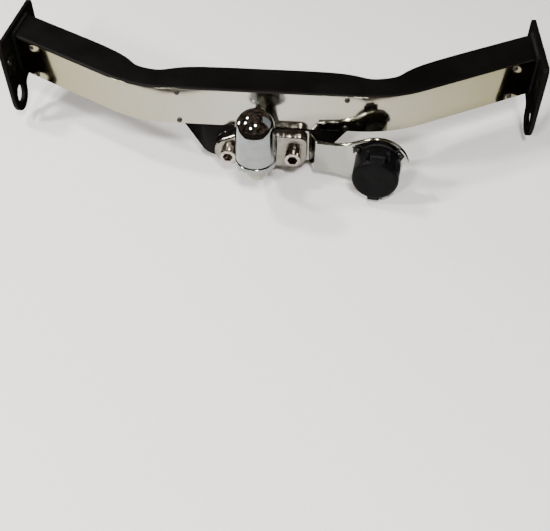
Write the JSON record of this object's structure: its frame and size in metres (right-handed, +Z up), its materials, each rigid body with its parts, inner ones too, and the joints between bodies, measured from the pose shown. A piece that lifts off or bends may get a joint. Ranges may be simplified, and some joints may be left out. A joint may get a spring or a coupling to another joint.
{
  "type": "trailer hitch",
  "caption": "Bent square-tube trailer hitch with polished trim strip, bolted ball neck, lift-off ball cap and bracketed trailer socket with a sprung lid.",
  "frame": {"origin": "the middle of the cross tube's front face, in the hitch's plane of symmetry", "axes": "+X across the vehicle towards the socket, +Y towards the vehicle, +Z up"},
  "size_m": [0.8428, 0.3482, 0.1637],
  "materials": {
    "black_paint": "satin black powder coat",
    "polished_strip": "mirror-polished stainless sheet",
    "polished_bracket": "polished stainless sheet",
    "polished_forging": "polished and plated forging",
    "bright_chrome": "bright chrome plate",
    "bolt_steel": "bright zinc plate",
    "screw_steel": "plain stainless",
    "black_plastic": "moulded, fine grain",
    "black_rubber": "matt rubber",
    "contact_brass": "turned brass"
  },
  "bodies": {
    "hitch": {"cross_tube": "black_paint", "left_end_plate": "black_paint", "right_end_plate": "black_paint", "left_plate_weld": "black_paint", "right_plate_weld": "black_paint", "neck_mounting_plate": "black_paint", "mounting_plate_welds": "black_paint", "trim_strip": "polished_strip", "trim_screws": "screw_steel", "tow_ball_neck": "polished_forging", "neck_bolts": "bolt_steel", "neck_flat_washers": "bolt_steel", "neck_lock_washers": "bolt_steel", "neck_nuts": "bolt_steel", "socket_bracket": "polished_bracket", "socket_gasket": "black_rubber", "socket_housing": "black_plastic", "contact_insert": "black_plastic", "contact_pins": "contact_brass", "socket_screws": "screw_steel", "socket_washers": "screw_steel", "socket_nuts": "screw_steel", "cable_boot": "black_rubber", "lid_hinge_pin": "screw_steel", "lid_spring": "screw_steel"},
    "cap": {"ball_cap": "bright_chrome"},
    "lid": {"socket_lid": "black_plastic", "lid_seal": "black_rubber"}
  },
  "joints": [
    {"name": "cap_lift", "type": "slide", "parent": "hitch", "child": "cap", "axis": [0, 0, 1], "range_m": [0, 0.09]},
    {"name": "lid_hinge", "type": "hinge", "parent": "hitch", "child": "lid", "pos_m": [0.17399, -0.06028, -0.0224], "axis": [-0.9946, 0.1037, 0], "range_deg": [0, 105], "stiffness_Nm_per_rad": 0.03, "springref_deg": -20.05}
  ]
}
